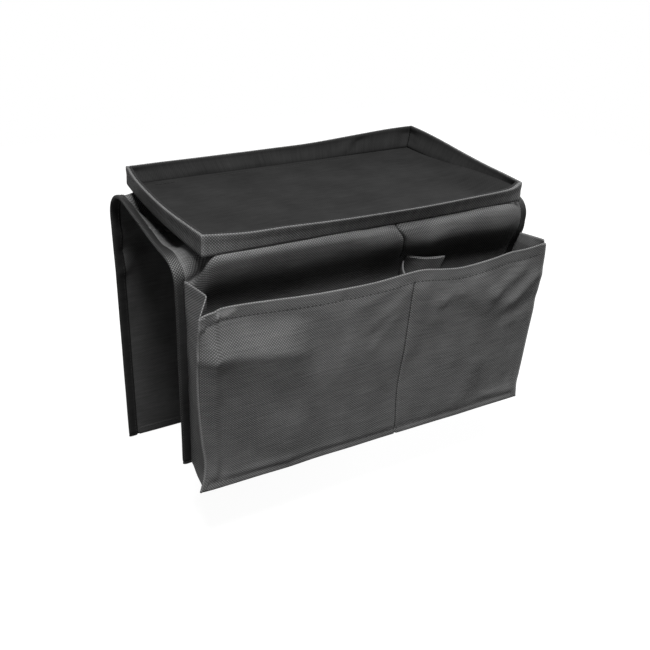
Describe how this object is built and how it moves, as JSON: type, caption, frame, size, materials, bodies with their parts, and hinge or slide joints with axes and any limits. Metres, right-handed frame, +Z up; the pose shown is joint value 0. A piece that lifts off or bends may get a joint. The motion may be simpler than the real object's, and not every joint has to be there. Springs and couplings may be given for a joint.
{
  "type": "armrest organizer",
  "caption": "Soft organizer for a sofa armrest: a cloth saddle with a stiff-rimmed tray on top, a plain tuck-in flap behind and a flap with a divided bellows pocket in front.",
  "frame": {"origin": "on the underside of the saddle where it lies on the armrest, midway between the two flaps and between the two bound ends", "axes": "+Z up; +X along the armrest, to the right as seen from the pocket side; -Y towards the bellows pocket, +Y towards the rear flap"},
  "size_m": [0.3522, 0.2195, 0.3047],
  "materials": {
    "outer_cloth": "matt black embossed non-woven cloth",
    "lining_cloth": "matt black smooth non-woven lining",
    "tape": "matt black folded tape",
    "board": "plain hardboard, hidden",
    "stay": "plain plastic strip, hidden"
  },
  "bodies": {
    "saddle": {"saddle_outer": "outer_cloth", "saddle_lining": "lining_cloth", "saddle_binding_left": "tape", "saddle_binding_right": "tape", "tray_under_cover": "lining_cloth", "tray_board": "board", "tray_floor_cover": "outer_cloth", "tray_sleeve_front": "outer_cloth", "tray_sleeve_rear": "outer_cloth", "tray_sleeve_left": "outer_cloth", "tray_sleeve_right": "outer_cloth", "tray_stay_front": "stay", "tray_stay_rear": "stay", "tray_stay_left": "stay", "tray_stay_right": "stay"},
    "rear_flap": {"rear_flap_outer": "outer_cloth", "rear_flap_lining": "lining_cloth", "rear_flap_binding_left": "tape", "rear_flap_binding_right": "tape", "rear_flap_hem": "tape"},
    "front_flap": {"front_flap_outer": "outer_cloth", "front_flap_lining": "lining_cloth", "front_flap_binding_left": "tape", "front_flap_binding_right": "tape", "front_flap_hem": "tape", "pen_pocket": "outer_cloth", "pen_pocket_hem": "tape", "pocket_gusset_left": "outer_cloth", "pocket_gusset_right": "outer_cloth", "pocket_gusset_bottom": "outer_cloth", "pocket_divider": "lining_cloth"},
    "pocket_front": {"pocket_panel": "outer_cloth", "pocket_lip_hem": "outer_cloth", "pocket_welt_left": "tape", "pocket_welt_right": "tape", "pocket_welt_bottom": "tape"}
  },
  "joints": [
    {"name": "rear_flap_fold", "type": "hinge", "parent": "saddle", "child": "rear_flap", "pos_m": [0, 0.086, -0.016], "axis": [1, 0, 0], "range_deg": [0, 90]},
    {"name": "front_flap_fold", "type": "hinge", "parent": "saddle", "child": "front_flap", "pos_m": [0, -0.096, -0.016], "axis": [-1, 0, 0], "range_deg": [0, 90]},
    {"name": "pocket_mouth", "type": "hinge", "parent": "front_flap", "child": "pocket_front", "pos_m": [0, -0.1263, -0.2], "axis": [1, 0, 0], "range_deg": [-10, 8], "deforming": ["pocket_gusset_left", "pocket_gusset_right", "pocket_divider"]}
  ]
}
